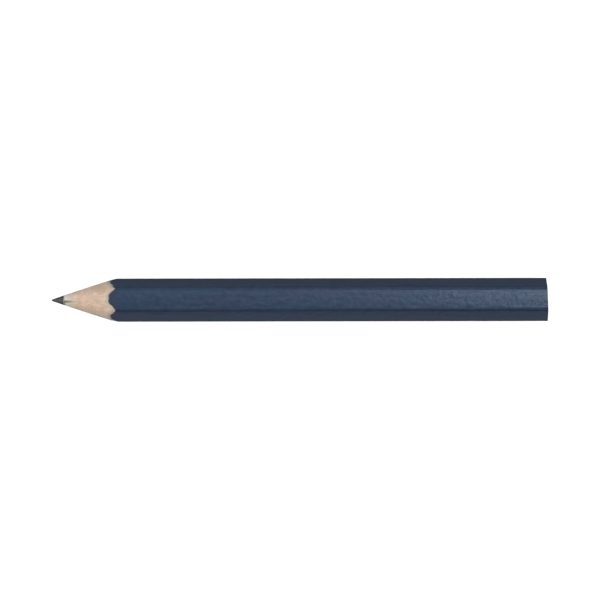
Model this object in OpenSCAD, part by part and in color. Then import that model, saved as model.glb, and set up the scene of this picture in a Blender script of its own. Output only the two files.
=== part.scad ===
// Half-length hexagonal carpenter's pencil with a conical point.
// It lies along X on one flat, with its point toward -X and the middle of its length over
// the origin. The top of the table is z = 0.

/* [Barrel] */
// Length from the tip of the graphite to the sawn end
pencil_length = 88; // [60:1:180]
// Width across two opposite flats, over the lacquer
across_flats = 6.9; // [6.5:0.1:7.6]
// Radius of the six long edges, over the lacquer
edge_radius = 0.95; // [0.7:0.05:1.8]

/* [Core and glue] */
// Diameter of the graphite core
core_diameter = 1.7; // [1.5:0.1:2.4]
// Thickness of the glue around the core
core_glue = 0.05; // [0.03:0.01:0.1]
// Thickness of the glue between the two slats
slat_glue = 0.08; // [0.04:0.01:0.15]

/* [Lacquer] */
// Thickness of the pale primer on the wood
primer_thickness = 0.09; // [0.03:0.01:0.12]
// Thickness of the dark blue colour coat
colour_thickness = 0.08; // [0.04:0.01:0.12]
// Thickness of the clear top coat
clear_thickness = 0.03; // [0.03:0.01:0.06]

/* [Point] */
// Angle between the axis and the cut wood
wood_angle = 17.9; // [14:0.1:22]
// Angle between the axis and the cut graphite
graphite_angle = 19.2; // [14:0.2:24]
// Radius of the worn tip
tip_radius = 0.16; // [0.06:0.02:0.3]

/* [Hidden] */
$fn = 64;
// Extra length of tools that cut right through.
through = 1;
// Steps around the worn tip, and around each long edge.
tip_steps = 6;
edge_steps = 6;
axis_height = across_flats / 2;
tip_x = -pencil_length / 2;
end_x = pencil_length / 2;
core_radius = core_diameter / 2;
groove_radius = core_radius + core_glue;

// Depth of each layer's outer face below the lacquered surface.
colour_depth = clear_thickness;
primer_depth = colour_depth + colour_thickness;
wood_depth = primer_depth + primer_thickness;

// The graphite cone leaves the round tip at a tangent, and the wood cone goes on from it.
tip_tangent_angle = 90 - graphite_angle;
tangent_radius = tip_radius * sin(tip_tangent_angle);
tangent_length = tip_radius * (1 - cos(tip_tangent_angle));
graphite_length = tangent_length + (core_radius - tangent_radius) / tan(graphite_angle);
wood_start_x = tip_x + graphite_length;

function wood_cone_x(radius) = wood_start_x + (radius - core_radius) / tan(wood_angle);

// Turns an outline of [radius, x] points about the pencil's axis.
module turned(outline) {
    translate([0, 0, axis_height])
        rotate([0, 90, 0])
            rotate_extrude()
                polygon(outline);
}

// Stands a section across the pencil and runs it past both ends of the barrel.
module run_through() {
    translate([tip_x - through, 0, axis_height])
        rotate([90, 0, 90])
            linear_extrude(pencil_length + 2 * through)
                children();
}

// Keeps what the sharpener and the saw leave: all inside the wood cone, up to the sawn end.
module sharpened() {
    intersection() {
        children();
        turned([
            [0, wood_cone_x(0)], [across_flats, wood_cone_x(across_flats)],
            [across_flats, end_x], [0, end_x],
        ]);
    }
}

// Hexagon with rounded corners on the Y axis, a given depth below the lacquered surface.
module hexagon(depth) {
    centre_distance = (across_flats / 2 - edge_radius) / cos(30);
    polygon([
        for (corner = [0:60:300], step = [0:edge_steps])
            let (turn = corner - 30 + 60 * step / edge_steps)
                centre_distance * [cos(corner), sin(corner)]
                    + (edge_radius - depth) * [cos(turn), sin(turn)]
    ]);
}

// The half plane on one side of the glue line, level is +1 above it and -1 below it.
module beside_glue(level) {
    translate([0, level * (across_flats + slat_glue) / 2])
        square([2 * across_flats, across_flats], center = true);
}

// Half of the wooden case, with a half-round groove for the core.
module slat(level) {
    sharpened()
        run_through()
            difference() {
                intersection() {
                    hexagon(wood_depth);
                    beside_glue(level);
                }
                circle(groove_radius);
            }
}

// Film between the slats on one side of the core, side is +1 toward +Y.
module glue_line(side) {
    sharpened()
        run_through()
            difference() {
                intersection() {
                    hexagon(wood_depth);
                    translate([side * across_flats / 2, 0])
                        square([across_flats, slat_glue], center = true);
                }
                circle(groove_radius);
            }
}

// One coat of paint, between two depths below the lacquered surface.
module coat(outer_depth, inner_depth) {
    sharpened()
        run_through()
            difference() {
                hexagon(outer_depth);
                hexagon(inner_depth);
            }
}

module graphite_core() {
    color([0.33, 0.33, 0.32])
        turned([
            [0, end_x],
            [0, tip_x],
            for (step = [1:tip_steps])
                let (turn = tip_tangent_angle * step / tip_steps)
                    [tip_radius * sin(turn), tip_x + tip_radius * (1 - cos(turn))],
            [core_radius, wood_start_x],
            [core_radius, end_x],
        ]);
}

module core_glue_sleeve() {
    color([0.9, 0.86, 0.72])
        turned([
            [core_radius, wood_start_x],
            [groove_radius, wood_cone_x(groove_radius)],
            [groove_radius, end_x],
            [core_radius, end_x],
        ]);
}

module upper_slat() {
    color([0.82, 0.69, 0.6])
        slat(1);
}

module lower_slat() {
    color([0.8, 0.68, 0.59])
        slat(-1);
}

module glue_line_front() {
    color([0.9, 0.86, 0.72])
        glue_line(-1);
}

module glue_line_back() {
    color([0.9, 0.86, 0.72])
        glue_line(1);
}

module primer_coat() {
    color([0.86, 0.82, 0.78])
        coat(primer_depth, wood_depth);
}

module colour_coat() {
    color([0.2, 0.27, 0.36])
        coat(colour_depth, primer_depth);
}

module clear_coat() {
    color([0.7, 0.75, 0.8, 0.25])
        coat(0, colour_depth);
}

graphite_core();
core_glue_sleeve();
upper_slat();
lower_slat();
glue_line_front();
glue_line_back();
primer_coat();
colour_coat();
clear_coat();
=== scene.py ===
"""Looks of a short hexagonal pencil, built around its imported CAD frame.

Every piece is a stack of outlines across the pencil. The outlines follow the sharpened cone,
the barrel, the sawn end and the inside of the piece, so each piece is one closed shell.
Lengths are in metres, or in millimetres where a name ends in mm; per_mm is bumps per millimetre.
"""
import math

import bmesh
import bpy
import numpy as np
from mathutils import Matrix, Vector, noise

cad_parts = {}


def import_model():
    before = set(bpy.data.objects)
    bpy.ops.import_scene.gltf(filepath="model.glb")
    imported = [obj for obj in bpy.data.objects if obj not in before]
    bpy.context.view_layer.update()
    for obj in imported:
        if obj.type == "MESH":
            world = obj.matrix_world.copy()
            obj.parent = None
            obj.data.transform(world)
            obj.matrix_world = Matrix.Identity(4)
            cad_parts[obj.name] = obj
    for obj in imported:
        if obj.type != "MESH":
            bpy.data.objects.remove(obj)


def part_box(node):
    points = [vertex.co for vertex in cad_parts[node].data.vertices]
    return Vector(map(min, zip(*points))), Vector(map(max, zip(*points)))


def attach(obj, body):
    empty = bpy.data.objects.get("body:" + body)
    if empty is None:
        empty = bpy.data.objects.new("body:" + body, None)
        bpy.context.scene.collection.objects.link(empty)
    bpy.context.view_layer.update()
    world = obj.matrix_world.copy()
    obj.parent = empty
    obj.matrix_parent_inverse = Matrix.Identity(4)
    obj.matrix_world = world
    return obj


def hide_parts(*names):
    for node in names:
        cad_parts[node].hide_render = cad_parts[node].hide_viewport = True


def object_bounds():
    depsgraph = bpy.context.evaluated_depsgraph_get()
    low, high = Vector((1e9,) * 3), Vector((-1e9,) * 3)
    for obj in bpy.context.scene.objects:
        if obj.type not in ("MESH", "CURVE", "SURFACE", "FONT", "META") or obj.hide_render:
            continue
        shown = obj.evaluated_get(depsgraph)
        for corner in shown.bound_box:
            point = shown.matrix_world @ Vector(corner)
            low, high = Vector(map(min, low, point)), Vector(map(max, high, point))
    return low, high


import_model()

MM = 0.001

# ---------------------------------------------------------------- sizes, all from the frame
cad_low, cad_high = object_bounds()


def half_height(node):
    """Half of a node's height, which is its radius or its distance to a flat."""
    low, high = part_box(node)
    return (high.z - low.z) / 2


axis_z = (cad_low.z + cad_high.z) / 2
tip_x = cad_low.x
end_x = cad_high.x
cos_30 = math.cos(math.radians(30))
flat_radius = (cad_high.z - cad_low.z) / 2
corner_radius = (cad_high.y - cad_low.y) / 2
edge_radius = (flat_radius - corner_radius * cos_30) / (1 - cos_30)
corner_centre = (flat_radius - edge_radius) / cos_30
core_radius = half_height("graphite_core")
groove_radius = half_height("core_glue_sleeve")
lacquer_thickness = flat_radius - half_height("primer_coat")
wood_depth = flat_radius - (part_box("upper_slat")[1].z - axis_z)
seam_thickness = 2 * half_height("glue_line_front")

# The wood cone runs from the rim of the graphite to where the flats begin.
wood_start_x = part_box("core_glue_sleeve")[0].x
flats_start_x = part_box("clear_coat")[0].x
cone_slope = (flat_radius - core_radius) / (flats_start_x - wood_start_x)
apex_x = wood_start_x - core_radius / cone_slope
cone_cos = 1 / math.hypot(1, cone_slope)
cone_sin = cone_slope * cone_cos


def cone_x(radius):
    """Where the sharpened cone has this radius."""
    return apex_x + radius / cone_slope


# ---------------------------------------------------------------- outlines and shells
EDGE_STEPS = 8
FLAT_STEPS = 16
TURN_STEPS = 96
SEED_DIRECTION = np.array([1.0, 1.7, 2.3])
SHARP_EDGE = 32


def direction(degrees):
    """The unit vector (y, z) at an angle from +Y."""
    return np.array([math.cos(math.radians(degrees)), math.sin(math.radians(degrees))])


def hexagon(depth, gap=None):
    """Points (y, z) about the axis of a hexagon with round corners, at a depth in the lacquer.

    With a gap it is only the upper half, from the glue gap on +Y to the glue gap on -Y.
    """
    radius = edge_radius - depth
    corners = range(0, 360, 60) if gap is None else range(0, 181, 60)
    clip = 0 if gap is None else math.degrees(math.asin(gap / 2 / radius))
    points = []
    for corner in corners:
        first = clip if gap is not None and corner == 0 else corner - 30
        last = 180 - clip if gap is not None and corner == 180 else corner + 30
        centre = corner_centre * direction(corner)
        turns = np.linspace(first, last, EDGE_STEPS + 1)
        arc = [centre + radius * direction(turn) for turn in turns]
        if points:
            points += list(np.linspace(points[-1], arc[0], FLAT_STEPS + 1)[1:-1])
        points += arc
    if gap is None:
        points += list(np.linspace(points[-1], points[0], FLAT_STEPS + 1)[1:-1])
    return np.array(points)


def circle(radius, degrees):
    """Points (y, z) about the axis at these angles."""
    turns = np.radians(degrees)
    return radius * np.stack([np.cos(turns), np.sin(turns)], axis=1)


def ring(outline, x):
    """A row of points (x, y, z) in the frame, from an outline and one x or an x per point."""
    xs = np.broadcast_to(x, len(outline))
    return np.column_stack([xs, outline[:, 0], outline[:, 1] + axis_z])


def noise_at(points, per_mm, seed):
    """Smooth noise from -1 to 1 at each point, with a number of bumps per mm along X, Y and Z."""
    shifted = points / MM * np.array(per_mm) + seed * SEED_DIRECTION
    return np.array([noise.noise(point) for point in shifted])


def make_shell(name, rows, bands, ring_closed, materials, sharp=SHARP_EDGE, rim=None):
    """A closed mesh from rows of points, the last row joined to the first.

    bands holds the material number of the faces after each row. rim holds a value per point, or
    one per row, for the materials to use: 1 at the torn rim of the lacquer, and less at the sawn
    end. Edges with an angle of more than sharp degrees stay sharp.
    """
    count = len(rows[0])
    around = count if ring_closed else count - 1
    faces = []
    numbers = []
    for row, band in enumerate(bands):
        here = row * count
        there = (row + 1) % len(rows) * count
        for i in range(around):
            j = (i + 1) % count
            faces.append((here + i, here + j, there + j, there + i))
            numbers.append(band)
    if not ring_closed:
        for i in (0, count - 1):
            faces.append([row * count + i for row in range(len(rows))])
            numbers.append(0)
    piece = make_mesh(name, np.concatenate(rows), faces, numbers, materials, sharp)
    if rim is not None:
        values = np.concatenate([np.broadcast_to(value, count) for value in rim])
        piece.data.attributes.new("rim", "FLOAT", "POINT").data.foreach_set("value", values)
    return piece


def make_turned(name, rows, material):
    """A closed mesh from rows around the axis, with a fan of faces at each end."""
    count = len(rows[0])
    faces = []
    for here in range(0, (len(rows) - 1) * count, count):
        for i in range(count):
            j = (i + 1) % count
            faces.append((here + i, here + j, here + count + j, here + count + i))
    points = np.concatenate(rows)
    for row in (0, len(rows) - 1):
        pole = len(points)
        points = np.vstack([points, rows[row].mean(axis=0)])
        for i in range(count):
            faces.append((row * count + i, row * count + (i + 1) % count, pole))
    return make_mesh(name, points, faces, [0] * len(faces), [material], SHARP_EDGE)


def make_mesh(name, points, faces, numbers, materials, sharp):
    mesh = bpy.data.meshes.new(name)
    mesh.from_pydata(points.tolist(), [], faces)
    for material in materials:
        mesh.materials.append(material)
    mesh.polygons.foreach_set("material_index", numbers)
    work = bmesh.new()
    work.from_mesh(mesh)
    bmesh.ops.recalc_face_normals(work, faces=work.faces)
    work.to_mesh(mesh)
    work.free()
    mesh.shade_smooth()
    mesh.set_sharp_from_angle(angle=math.radians(sharp))
    piece = bpy.data.objects.new(name, mesh)
    bpy.context.scene.collection.objects.link(piece)
    return piece


# ---------------------------------------------------------------- surface detail
CONE_ROWS = 150
END_ROWS = 22
ROW_STEP = 0.165 * MM
TOOL_MARK_PITCH_MM = 0.34
SAW_LINE_PITCH_MM = 0.42
SAW_LINE_ACROSS = (0.94, 0.34)
END_SLANT = 0.035
END_SET_BACK = 0.016 * MM  # the height of the saw lines and torn fibres, so they stay in the CAD


def on_cone(outline, shift=0.0):
    """A row on the sharpened cone: tool marks, raised grain and a slightly uneven hand."""
    radius = np.linalg.norm(outline, axis=1)
    points = ring(outline, cone_x(radius) + shift)
    uneven = 0.020 * MM * noise_at(points, (0.45, 0.45, 0.45), 3.1)
    grain = 0.006 * MM * noise_at(points, (0.5, 6.0, 6.0), 8.7)
    marks = 0.0022 * MM * np.sin(points[:, 0] / MM * 2 * math.pi / TOOL_MARK_PITCH_MM)
    height = uneven + grain + marks
    outward = outline / radius[:, None]
    points[:, 0] -= height * cone_sin
    points[:, 1:] += outward * (height * cone_cos)[:, None]
    return points


def on_end(outline, inward=0.0):
    """A row on the sawn end: a little oblique, with saw lines across it and torn fibres."""
    points = ring(outline, end_x - inward)
    points[:, 0] -= (points[:, 1] + corner_radius) * END_SLANT
    across = (points[:, 1] * SAW_LINE_ACROSS[0] + points[:, 2] * SAW_LINE_ACROSS[1]) / MM
    wander = 1.3 * noise_at(points, (0.3, 0.3, 0.3), 5.2)
    lines = 0.006 * MM * np.sin(across * 2 * math.pi / SAW_LINE_PITCH_MM + wander)
    torn = 0.010 * MM * noise_at(points, (2.6, 2.6, 2.6), 12.4)
    points[:, 0] += lines + torn - END_SET_BACK
    return points


def over_cone(inner, outer, count, shift=0.0):
    """Rows on the cone from the inner to the outer outline."""
    shares = np.linspace(0, 1, count)
    return [on_cone(inner + (outer - inner) * share, shift) for share in shares]


def over_end(inner, outer, count):
    """Rows on the sawn end from the outer back to the inner outline."""
    shares = np.linspace(0, 1, count)
    return [on_end(outer + (inner - outer) * share) for share in shares]


def cone_and_end_rows(inner, outer, cone_rows, end_rows):
    """Rows over the cone from inner to outer outline, straight back, and over the sawn end."""
    return over_cone(inner, outer, cone_rows) + over_end(inner, outer, end_rows)


# ---------------------------------------------------------------- material helpers
def node(tree, kind, inputs=None, **settings):
    """A shader node. An input is a value or another node's output."""
    made = tree.nodes.new(kind)
    for name, value in settings.items():
        setattr(made, name, value)
    for key, value in (inputs or {}).items():
        if isinstance(value, bpy.types.NodeSocket):
            tree.links.new(value, made.inputs[key])
        else:
            made.inputs[key].default_value = value
    return made


def start_material(name):
    material = bpy.data.materials.new(name)
    material.use_nodes = True
    tree = material.node_tree
    return material, tree, tree.nodes["Principled BSDF"]


def place(tree, per_mm, turn=(0, 0, 0)):
    """Object coordinates, turned and scaled to cells of 1 mm divided by per_mm."""
    coordinates = node(tree, "ShaderNodeTexCoord").outputs["Object"]
    scale = [value / MM for value in per_mm]
    mapping = node(tree, "ShaderNodeMapping", {
        "Vector": coordinates, "Rotation": turn, "Scale": scale})
    return mapping.outputs["Vector"]


def noise_node(tree, per_mm, detail=2.0, roughness=0.5, offset=0.0):
    """Noise from 0 to 1. Two with another offset don't look alike."""
    where = place(tree, per_mm)
    if offset:
        shift = {0: where, 1: (offset, offset, offset)}
        where = node(tree, "ShaderNodeVectorMath", shift, operation="ADD").outputs[0]
    made = node(tree, "ShaderNodeTexNoise", {
        "Vector": where, "Scale": 1.0, "Detail": detail, "Roughness": roughness})
    return made.outputs["Fac"]


def ramp(tree, value, low, high, low_out=0.0, high_out=1.0):
    """A number eased from low..high to low_out..high_out and held there outside."""
    made = node(tree, "ShaderNodeMapRange", {
        "Value": value, "From Min": low, "From Max": high, "To Min": low_out, "To Max": high_out},
        interpolation_type="SMOOTHSTEP")
    return made.outputs["Result"]


def maths(tree, operation, a, b=0.0):
    return node(tree, "ShaderNodeMath", {0: a, 1: b}, operation=operation).outputs[0]


def mix(tree, share, a, b):
    """Two colours mixed by a share."""
    made = node(tree, "ShaderNodeMix", {"Factor": share}, data_type="RGBA")
    for slot, colour in ((6, a), (7, b)):
        if isinstance(colour, bpy.types.NodeSocket):
            tree.links.new(colour, made.inputs[slot])
        else:
            made.inputs[slot].default_value = (*colour, 1)
    return made.outputs[2]


def bump(tree, shader, height, depth_mm):
    made = node(tree, "ShaderNodeBump", {
        "Height": height, "Distance": depth_mm * MM, "Strength": 1.0})
    link(tree, made.outputs["Normal"], shader, "Normal")
    return made.outputs["Normal"]


def set_inputs(shader, **values):
    """Sets inputs by name, with an underscore for each space."""
    for name, value in values.items():
        shader.inputs[name.replace("_", " ")].default_value = value


def link(tree, output, shader, name):
    tree.links.new(output, shader.inputs[name])


def rim_value(tree):
    """The rim value that make_shell gives each point."""
    return node(tree, "ShaderNodeAttribute", attribute_name="rim").outputs["Fac"]


def upper_half(tree, fade):
    """1 above the pencil's axis and 0 below it, with a soft change just above the axis."""
    return ramp(tree, axis_position(tree, "Z"), axis_z, axis_z + fade)


def axis_position(tree, axis):
    """Object coordinate along X, Y or Z, in metres."""
    coordinates = node(tree, "ShaderNodeTexCoord").outputs["Object"]
    return node(tree, "ShaderNodeSeparateXYZ", {0: coordinates}).outputs[axis]


# ---------------------------------------------------------------- materials
def lacquer_material():
    """Dark blue lacquer under a clear coat: clouded, with orange peel and faint streaks.

    It is duller and greyer where it is worn, at the torn rim and at the sawn end.
    """
    material, tree, shader = start_material("navy_lacquer")
    cloud = noise_node(tree, (0.9, 1.4, 1.4), detail=3.0)
    hue = noise_node(tree, (0.12, 0.45, 0.45), detail=2.0, offset=6.0)
    streaks = noise_node(tree, (0.06, 2.2, 2.2), detail=3.0, offset=4.0)
    colour = mix(tree, ramp(tree, cloud, 0.3, 0.7),
                 (0.0206, 0.0375, 0.0766), (0.0324, 0.0520, 0.0992))
    colour = mix(tree, ramp(tree, hue, 0.35, 0.5, 0.5, 0.0), colour, (0.0204, 0.0500, 0.0861))
    colour = mix(tree, ramp(tree, hue, 0.5, 0.65, 0.0, 0.5), colour, (0.0348, 0.0430, 0.0896))
    colour = mix(tree, ramp(tree, streaks, 0.45, 0.72, 0.0, 0.5), colour, (0.018, 0.031, 0.061))
    worn = maths(tree, "MULTIPLY", rim_value(tree), ramp(tree, streaks, 0.3, 0.7, 0.5, 0.9))
    link(tree, mix(tree, worn, colour, (0.034, 0.036, 0.052)), shader, "Base Color")
    link(tree, ramp(tree, cloud, 0.25, 0.75, 0.285, 0.35), shader, "Roughness")
    peel = noise_node(tree, (1.35, 1.45, 1.45), detail=1.0, roughness=0.4)
    fine = noise_node(tree, (5.0, 6.5, 6.5), detail=1.0, offset=2.0)
    height = maths(tree, "ADD", peel, maths(tree, "MULTIPLY", fine, 0.08))
    normal = bump(tree, shader, height, 0.024)
    link(tree, normal, shader, "Coat Normal")
    set_inputs(shader, Coat_Weight=0.2, Coat_Roughness=0.2, Coat_IOR=1.48, IOR=1.4)
    set_inputs(shader, Specular_Tint=(0.78, 0.88, 1.0, 1.0))
    return material


def lacquer_cut_material():
    """The cut edge of the lacquer, seen as a darker line."""
    material, tree, shader = start_material("lacquer_cut_edge")
    grit = noise_node(tree, (4.0, 9.0, 9.0), detail=3.0)
    link(tree, mix(tree, grit, (0.050, 0.042, 0.052), (0.120, 0.104, 0.106)), shader, "Base Color")
    link(tree, ramp(tree, grit, 0.3, 0.7, 0.55, 0.75), shader, "Roughness")
    bump(tree, shader, grit, 0.012)
    return material


def primer_material():
    """Pale primer, seen as a rim in front of the lacquer."""
    material, tree, shader = start_material("pale_primer")
    grit = noise_node(tree, (3.0, 7.0, 7.0), detail=4.0)
    link(tree, mix(tree, grit, (0.48, 0.40, 0.33), (0.66, 0.57, 0.48)), shader, "Base Color")
    link(tree, ramp(tree, grit, 0.3, 0.7, 0.6, 0.8), shader, "Roughness")
    bump(tree, shader, grit, 0.014)
    return material


DUST_LENGTH = 2.8 * MM
STAIN_SET_BACK = 1.2 * MM
STAIN_Y = 2.0 * MM
STAIN_HALF_LENGTH = 1.7 * MM
STAIN_HALF_WIDTH = 1.3 * MM
SMEAR_Y = -0.30 * MM
SMEAR_LENGTH = 3.2 * MM
SMEAR_TAPER = 3.0 * MM
SMEAR_HALF_WIDTHS = (0.36 * MM, 0.12 * MM)
SMEAR_WANDER = 0.35 * MM


def wood_material():
    """Pale basswood: growth rings, fibres, flecks, a stain, and graphite dust by the core."""
    material, tree, shader = start_material("basswood")
    fibre = noise_node(tree, (0.35, 7.5, 7.5), detail=4.0, roughness=0.6)
    blotch = noise_node(tree, (0.40, 0.75, 0.75), detail=2.5, offset=7.0)
    patch = noise_node(tree, (0.9, 1.7, 1.7), detail=3.0, roughness=0.6, offset=15.0)
    pores = noise_node(tree, (1.6, 13.0, 13.0), detail=2.0, roughness=0.6, offset=3.0)
    flecks = noise_node(tree, (1.1, 4.2, 4.2), detail=2.0, roughness=0.65, offset=11.0)
    rings = node(tree, "ShaderNodeTexWave", {
        "Vector": place(tree, (0.05, 1.0, 1.0), (math.radians(24), 0, 0)),
        "Scale": 0.2, "Distortion": 1.6, "Detail": 2.0, "Detail Scale": 1.2},
        bands_direction="Z").outputs["Fac"]
    colour = mix(tree, ramp(tree, blotch, 0.38, 0.62),
                 (0.750, 0.545, 0.400), (0.870, 0.580, 0.425))
    colour = mix(tree, ramp(tree, patch, 0.52, 0.66, 0.0, 0.65), colour, (0.610, 0.475, 0.320))
    colour = mix(tree, ramp(tree, patch, 0.48, 0.34, 0.0, 0.5), colour, (0.960, 0.720, 0.560))
    colour = mix(tree, ramp(tree, rings, 0.55, 1.0, 0.0, 0.45), colour, (0.640, 0.510, 0.360))
    colour = mix(tree, ramp(tree, fibre, 0.42, 0.72, 0.0, 0.45), colour, (0.600, 0.430, 0.295))
    colour = mix(tree, ramp(tree, flecks, 0.59, 0.69, 0.0, 0.7), colour, (0.430, 0.290, 0.180))
    colour = mix(tree, ramp(tree, pores, 0.62, 0.72, 0.0, 0.75), colour, (0.340, 0.230, 0.150))
    along = axis_position(tree, "X")
    colour = mix(tree, stain_share(tree, along, patch), colour, (0.500, 0.380, 0.225))
    soaked = maths(tree, "ADD", rim_value(tree), maths(tree, "MULTIPLY", patch, 0.10))
    colour = mix(tree, ramp(tree, soaked, 0.94, 1.08, 0.0, 0.45), colour, (0.700, 0.590, 0.480))
    dusty = ramp(tree, along, wood_start_x - 0.2 * MM, wood_start_x + DUST_LENGTH, 0.85, 0.0)
    colour = mix(tree, dusty, colour, (0.780, 0.710, 0.620))
    colour = mix(tree, smear_share(tree, along), colour, (0.200, 0.155, 0.100))
    colour = mix(tree, smudge_share(tree, along, patch), colour, (0.110, 0.100, 0.085))
    link(tree, colour, shader, "Base Color")
    link(tree, ramp(tree, fibre, 0.3, 0.7, 0.62, 0.8), shader, "Roughness")
    pits = maths(tree, "MULTIPLY", ramp(tree, pores, 0.6, 0.74), 0.8)
    bump(tree, shader, maths(tree, "SUBTRACT", fibre, pits), 0.022)
    set_inputs(shader, Specular_IOR_Level=0.3, Sheen_Weight=0.5, Sheen_Roughness=0.5)
    return material


def stain_share(tree, along, patch):
    """A soft olive stain by the lacquer, to the back of the top."""
    squares = []
    for position, centre, radius in (
            (along, flats_start_x - STAIN_SET_BACK, STAIN_HALF_LENGTH),
            (axis_position(tree, "Y"), STAIN_Y, STAIN_HALF_WIDTH)):
        share = maths(tree, "DIVIDE", maths(tree, "SUBTRACT", position, centre), radius)
        squares.append(maths(tree, "MULTIPLY", share, share))
    ragged = maths(tree, "MULTIPLY", patch, 1.6)
    ragged = maths(tree, "SUBTRACT", maths(tree, "ADD", *squares), ragged)
    soft = ramp(tree, ragged, -1.0, 0.4, 0.40, 0.0)
    return maths(tree, "MULTIPLY", soft, upper_half(tree, 0.6 * MM))


def smear_share(tree, along):
    """A short graphite smear that starts at the core, a little to the front of the top."""
    wander = maths(tree, "SUBTRACT", noise_node(tree, (0.9, 0.1, 0.1)), 0.5)
    wander = maths(tree, "MULTIPLY", wander, SMEAR_WANDER)
    side = maths(tree, "SUBTRACT", axis_position(tree, "Y"), SMEAR_Y)
    off_centre = maths(tree, "ABSOLUTE", maths(tree, "ADD", side, wander))
    taper_end_x = wood_start_x + SMEAR_TAPER
    half_width = ramp(tree, along, wood_start_x, taper_end_x, *SMEAR_HALF_WIDTHS)
    across = maths(tree, "SUBTRACT", 1.0, maths(tree, "DIVIDE", off_centre, half_width))
    soft = ramp(tree, across, 0.0, 0.75)
    length = ramp(tree, along, wood_start_x, wood_start_x + SMEAR_LENGTH, 1.0, 0.0)
    above = maths(tree, "MULTIPLY", length, upper_half(tree, 0.3 * MM))
    return maths(tree, "MULTIPLY", soft, above)


def smudge_share(tree, along, patch):
    """A ragged graphite smudge on the wood at the foot of the core, oblique to the axis."""
    foot = maths(tree, "ADD", along, maths(tree, "MULTIPLY", axis_position(tree, "Y"), 0.2))
    foot = maths(tree, "SUBTRACT", foot, maths(tree, "MULTIPLY", patch, 0.25 * MM))
    return ramp(tree, foot, wood_start_x - 0.06 * MM, wood_start_x + 0.16 * MM, 0.85, 0.0)


def graphite_material():
    """Scraped graphite: grey, with scratches around it and paler grains."""
    material, tree, shader = start_material("graphite")
    scratches = noise_node(tree, (9.0, 2.5, 2.5), detail=3.0, roughness=0.65)
    grains = noise_node(tree, (8.0, 8.0, 8.0), detail=2.0, offset=5.0)
    colour = mix(tree, ramp(tree, scratches, 0.3, 0.7),
                 (0.042, 0.042, 0.040), (0.092, 0.092, 0.088))
    colour = mix(tree, ramp(tree, grains, 0.6, 0.75, 0.0, 0.6), colour, (0.135, 0.135, 0.130))
    link(tree, colour, shader, "Base Color")
    link(tree, ramp(tree, grains, 0.3, 0.7, 0.5, 0.7), shader, "Roughness")
    bump(tree, shader, maths(tree, "ADD", scratches, grains), 0.010)
    return material


def glue_material():
    """Dried white glue, darker where wood dust is in it."""
    material, tree, shader = start_material("dried_glue")
    cloud = noise_node(tree, (2.0, 5.0, 5.0), detail=3.0)
    link(tree, mix(tree, cloud, (0.26, 0.21, 0.15), (0.42, 0.36, 0.27)), shader, "Base Color")
    link(tree, ramp(tree, cloud, 0.3, 0.7, 0.35, 0.5), shader, "Roughness")
    bump(tree, shader, cloud, 0.008)
    return material


# ---------------------------------------------------------------- pieces
def finish_piece(piece, slot, *nodes):
    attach(piece, "root")
    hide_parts(*nodes)


full_turn = np.linspace(0, 360, TURN_STEPS, endpoint=False)
TIP_RADIUS = 0.16 * MM  # the same as in the CAD
TIP_ROWS = 9
SCRAPED_ROWS = 64
DISC_ROWS = 9
CORE_RECESS = 0.035 * MM


def graphite_core(material):
    """The core: a worn round tip, a scraped cone, a hidden rod and a rough disc at the end."""
    tangent = math.atan2(core_radius - TIP_RADIUS, wood_start_x - tip_x)
    for _ in range(4):  # the cone leaves the round tip at a tangent
        rise = core_radius - TIP_RADIUS * math.cos(tangent)
        run = wood_start_x - tip_x - TIP_RADIUS * (1 - math.sin(tangent))
        tangent = math.atan2(rise, run)
    profile = []
    for turn in np.linspace(math.radians(4), math.pi / 2 - tangent, TIP_ROWS):
        profile.append((tip_x + TIP_RADIUS * (1 - math.cos(turn)), TIP_RADIUS * math.sin(turn)))
    cone = np.linspace(profile[-1], (wood_start_x, core_radius), SCRAPED_ROWS)[1:]
    profile += [tuple(point) for point in cone]
    rows = []
    for x, radius in profile:
        outline = circle(radius, full_turn)
        points = ring(outline, x)
        fade = min(1.0, (x - tip_x) / (0.25 * MM))
        fade *= min(1.0, (wood_start_x - x) / (0.1 * MM))
        height = 0.010 * MM * noise_at(points, (0.9, 1.6, 1.6), 21.0)
        height += 0.005 * MM * noise_at(points, (9.0, 3.0, 3.0), 2.0)
        points[:, 1:] += circle(1.0, full_turn) * (height * fade)[:, None]
        rows.append(points)
    for share in np.linspace(0, 1, DISC_ROWS):
        radius = core_radius * (1 - 0.97 * share)
        recess = CORE_RECESS * min(1.0, share * 4)
        rows.append(on_end(circle(radius, full_turn), recess))
    piece = make_turned("graphite_lead", rows, material)
    finish_piece(piece, "graphite", "graphite_core")


def core_glue(material):
    """The glue sleeve, seen as a thin ring around the core on the cone and on the end."""
    inner, outer = circle(core_radius, full_turn), circle(groove_radius, full_turn)
    rows = cone_and_end_rows(inner, outer, 4, 4)
    rows[0] = ring(inner, wood_start_x)
    piece = make_shell("glue_round_core", rows, [0] * len(rows), True, [material])
    finish_piece(piece, "glue", "core_glue_sleeve")


def wood_slat(name, node_name, level, material):
    """Half of the case: sharpened cone, hidden outside, sawn end and half-round groove."""
    outer = hexagon(wood_depth, seam_thickness)
    turns = np.degrees(np.arctan2(outer[:, 1], outer[:, 0]))
    first = math.degrees(math.asin(seam_thickness / 2 / groove_radius))
    turns = np.interp(turns, [turns[0], turns[-1]], [first, 180 - first])
    inner = circle(groove_radius, turns)
    flip = np.array([1, level])
    rows = cone_and_end_rows(inner * flip, outer * flip, CONE_ROWS, END_ROWS)
    rim = list(np.linspace(0, 1, CONE_ROWS)) + [0] * END_ROWS
    piece = make_shell(name, rows, [0] * len(rows), False, [material], rim=rim)
    finish_piece(piece, "wood", node_name)


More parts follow.
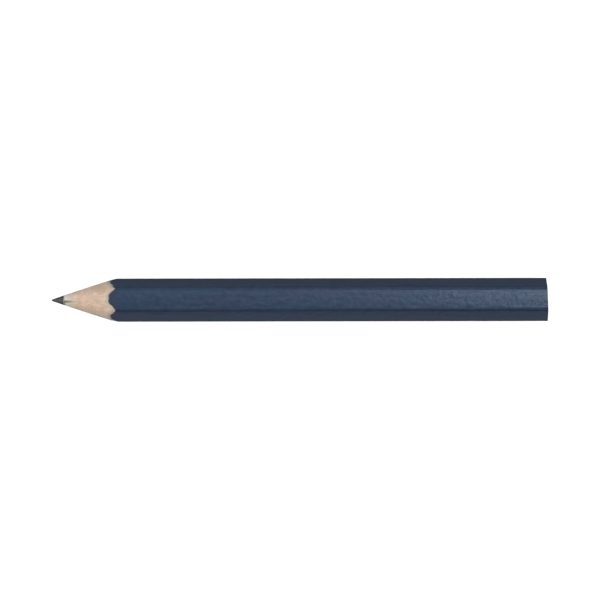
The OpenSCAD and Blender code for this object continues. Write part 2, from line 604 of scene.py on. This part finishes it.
def glue_seam(name, node_name, side, material):
    """The film between the slats on one side, seen as a hair line on the cone and the end."""
    heights = np.linspace(-1, 1, 5) * seam_thickness / 2
    radius = edge_radius - wood_depth
    outer = np.column_stack([corner_centre + np.sqrt(radius**2 - heights**2), heights])
    inner = np.column_stack([np.sqrt(groove_radius**2 - heights**2), heights])
    flip = np.array([side, 1])
    rows = cone_and_end_rows(inner * flip, outer * flip, CONE_ROWS, END_ROWS)
    piece = make_shell(name, rows, [0] * len(rows), False, [material])
    finish_piece(piece, "glue", node_name)


RIM_SEED = 53.2
PRIMER_SHOWN = 0.22 * MM


def rim_set_back():
    """How far the lacquer is torn back behind the cone, at each point of its inner outline.

    It is most at the middle of a flat, with a small point at each long edge and a smooth wave.
    """
    outline = hexagon(lacquer_thickness)
    radius = np.linalg.norm(outline, axis=1)
    on_flat = (radius.max() - radius) / (radius.max() - radius.min())
    points = ring(outline, cone_x(radius))
    wave = noise_at(points, (0.45, 0.45, 0.45), RIM_SEED)
    wave += 0.5 * noise_at(points, (1.1, 1.1, 1.1), RIM_SEED)
    cusp = np.maximum(1 - 2.0 * np.sqrt(np.maximum(on_flat, 0)), 0)
    return (0.19 + 0.54 * on_flat + 0.58 * wave + 0.17 * cusp) * MM


def primer_shell(material):
    """The primer shows as a pale rim in front of the lacquer."""
    outer, inner = hexagon(lacquer_thickness), hexagon(wood_depth)
    set_back = np.maximum(rim_set_back() - PRIMER_SHOWN, 0)
    rows = over_cone(inner, outer, 5, set_back) + over_end(inner, outer, 4)
    piece = make_shell("primer_shell", rows, [0] * len(rows), True, [material])
    finish_piece(piece, "primer", "primer_coat")


EDGE_ROUND = 0.035 * MM
CROWN = 0.02 * MM
WORN_LENGTH = 0.7 * MM
WORN_AT_END = 0.6
NEAR_EDGE_MM = (0.0, 0.010, 0.022, 0.035, 0.07, 0.13, 0.22)  # close rows around the rounding
CUT_ROWS = 4


def rounding(distance):
    """How far a surface drops at this distance from a rounded edge."""
    share = np.clip(1 - distance / EDGE_ROUND, 0, 1)
    return EDGE_ROUND * (1 - np.sqrt(1 - share**2))


def lacquer_shell(material, cut_material):
    """Colour and clear coats: a skin over slightly crowned flats, torn at the front."""
    outer, inner = hexagon(0.0), hexagon(lacquer_thickness)
    normal = (outer - inner) / lacquer_thickness
    along_flat = np.abs(outer[:, 0] * normal[:, 1] - outer[:, 1] * normal[:, 0])
    crown = CROWN * np.minimum(along_flat / (corner_centre / 2), 1) ** 2
    rim = outer - normal * EDGE_ROUND
    set_back = rim_set_back()
    rows = over_cone(inner, rim, CUT_ROWS, set_back)
    front = rows[-1][:, 0]
    end = on_end(rim)[:, 0]
    near = np.array(NEAR_EDGE_MM) * MM
    middle = np.linspace(0, 1, round((end_x - flats_start_x) / ROW_STEP))[1:-1]
    first, last = front + near[-1], end - near[-1]
    places = [front + step for step in near[1:]]
    places += [first + (last - first) * share for share in middle]
    places += [end - step for step in near[:0:-1]]
    for x in places:
        points = ring(outer, x)
        height = 0.0085 * MM * noise_at(points, (1.2, 1.3, 1.3), 14.0)
        height += 0.0035 * MM * noise_at(points, (0.10, 1.1, 1.1), 40.0)
        height -= crown + rounding(x - front) + rounding(end - x)
        points[:, 1:] += normal * height[:, None]
        rows.append(points)
    wall = len(rows) - 1
    rows += over_end(inner, rim, CUT_ROWS)
    bands = [1] * (CUT_ROWS + 1) + [0] * (wall - CUT_ROWS) + [1] * CUT_ROWS
    worn = []
    for points in rows:
        from_front = np.clip(1 - (points[:, 0] - front) / WORN_LENGTH, 0, 1)
        from_end = np.clip(1 - (end - points[:, 0]) / WORN_LENGTH, 0, 1)
        worn.append(np.maximum(from_front, WORN_AT_END * from_end))
    materials = [material, cut_material]
    piece = make_shell("lacquer_shell", rows, bands, True, materials, sharp=50, rim=worn)
    finish_piece(piece, "blue_lacquer", "colour_coat", "clear_coat")


wood = wood_material()
glue = glue_material()
graphite_core(graphite_material())
core_glue(glue)
wood_slat("slat_upper_wood", "upper_slat", 1, wood)
wood_slat("slat_lower_wood", "lower_slat", -1, wood)
glue_seam("glue_seam_back", "glue_line_back", 1, glue)
glue_seam("glue_seam_front", "glue_line_front", -1, glue)
primer_shell(primer_material())
lacquer_shell(lacquer_material(), lacquer_cut_material())


# ---------------------------------------------------------------- floor, light and camera
FLOOR_SIZE = 4.0
FLOOR_DROP = 0.02 * MM
PAINTED_SHADOW_EDGE = (6.5 * MM, 10.5 * MM)  # from the axis, where the painted shadow by the pencil goes over to the pale strip
PAINTED_SHADOW_END = (end_x + 2 * MM, end_x + 8 * MM)  # along X, where the painted shadow stops
STRIP_EDGE = (13 * MM, 22 * MM)  # from the axis, where the pale strip fades


def floor():
    """A floor, a little below the pencil's flat, that the camera sees as plain white.

    The side flats mirror something else in it, chosen by how they look in the photo: a painted
    shadow, dark close to the pencil, then a pale strip, paler at the front than at the back by
    painted shade, and dark again.
    """
    half = FLOOR_SIZE / 2
    z = cad_low.z - FLOOR_DROP
    corners = [(-half, -half, z), (half, -half, z), (half, half, z), (-half, half, z)]
    mesh = bpy.data.meshes.new("pale_floor")
    mesh.from_pydata(corners, [], [(0, 1, 2, 3)])
    material, tree, shader = start_material("pale_floor")
    side = axis_position(tree, "Y")
    beside = maths(tree, "ABSOLUTE", side)
    past_end = ramp(tree, axis_position(tree, "X"), *PAINTED_SHADOW_END)
    # Painted shadow: the floor that the pencil's edges and side flats mirror is dark close to the
    # pencil.
    outside_painted_shadow = maths(tree, "MAXIMUM", ramp(tree, beside, *PAINTED_SHADOW_EDGE), past_end)
    strip = maths(tree, "MULTIPLY", outside_painted_shadow, ramp(tree, beside, *STRIP_EDGE, 1.0, 0.12))
    # Painted shade: the strip is paler at the front than at the back, as if the pencil shaded the
    # back.
    strip = maths(tree, "MULTIPLY", strip, ramp(tree, side, -5 * MM, 5 * MM, 0.56, 0.34))
    link(tree, mix(tree, strip, (0.0, 0.0, 0.0), (1.0, 1.03, 1.12)), shader, "Base Color")
    set_inputs(shader, Roughness=0.9, Specular_IOR_Level=0.0)
    pale = node(tree, "ShaderNodeBsdfDiffuse", {"Color": (0.8, 0.8, 0.8, 1)})
    glow = node(tree, "ShaderNodeEmission", {"Color": (1.0, 1.0, 1.0, 1), "Strength": 0.7})
    seen = node(tree, "ShaderNodeAddShader", {0: pale.outputs[0], 1: glow.outputs[0]})
    camera_ray = node(tree, "ShaderNodeLightPath").outputs["Is Camera Ray"]
    both = node(tree, "ShaderNodeMixShader", {
        0: camera_ray, 1: shader.outputs[0], 2: seen.outputs[0]})
    link(tree, both.outputs[0], tree.nodes["Material Output"], "Surface")
    mesh.materials.append(material)
    piece = bpy.data.objects.new("pale_floor", mesh)
    bpy.context.scene.collection.objects.link(piece)


def softbox(name, tilt_x, tilt_y, distance, size, radiance, colour=(1, 1, 1)):
    """An area light facing the pencil, tilted from straight above towards +X and +Y."""
    x, y = math.tan(math.radians(tilt_x)), math.tan(math.radians(tilt_y))
    toward = Vector((x, y, 1)).normalized()
    data = bpy.data.lights.new(name, "AREA")
    data.shape = "RECTANGLE"
    data.size, data.size_y = size
    data.energy = radiance * math.pi * size[0] * size[1]
    data.color = colour
    light = bpy.data.objects.new(name, data)
    light.location = toward * distance
    light.rotation_euler = toward.to_track_quat("Z", "Y").to_euler()
    light.visible_camera = False
    bpy.context.scene.collection.objects.link(light)


def camera():
    """Straight above, a touch to the front, through a long lens."""
    distance = 0.8
    view_width = 106.4 * MM
    elevation = math.radians(87.4)
    roll = math.radians(-0.10)
    target = Vector((0.05 * MM, -0.03 * MM, axis_z))
    back = Vector((0, -math.cos(elevation), math.sin(elevation)))
    data = bpy.data.cameras.new("camera")
    data.sensor_width = 36
    data.lens = data.sensor_width * distance / view_width
    data.clip_start = 0.01
    data.clip_end = 20
    made = bpy.data.objects.new("camera", data)
    made.location = target + back * distance
    turned = back.to_track_quat("Z", "Y").to_matrix().to_4x4()
    made.rotation_euler = (turned @ Matrix.Rotation(roll, 4, "Z")).to_euler()
    bpy.context.scene.collection.objects.link(made)
    bpy.context.scene.camera = made


def world():
    """A dim, slightly blue surround."""
    made = bpy.data.worlds.new("studio")
    made.use_nodes = True
    background = made.node_tree.nodes["Background"]
    set_inputs(background, Color=(0.82, 0.90, 1.0, 1), Strength=0.13)
    bpy.context.scene.world = made


floor()
# Each has its tilts towards +X and +Y, its distance, its size, its radiance and its colour.
softbox("left_softbox", -52, -3, 0.9, (0.7, 0.7), 3.45)
softbox("right_softbox", 40, -3, 0.9, (0.5, 0.5), 4.15)
softbox("top_strip", 0, 9.5, 0.9, (0.3, 0.14), 2.6, (0.87, 1.0, 1.18))
softbox("front_strip", 0, -28, 0.9, (0.3, 0.14), 1.7, (1.0, 1.0, 1.05))
softbox("back_panel", 0, 60, 0.9, (0.45, 0.8), 0.65)
softbox("end_light", 11.4, 4.4, 0.3, (0.03, 0.03), 15, (0.82, 0.96, 1.12))
world()
camera()
bpy.context.scene.view_settings.view_transform = "Standard"
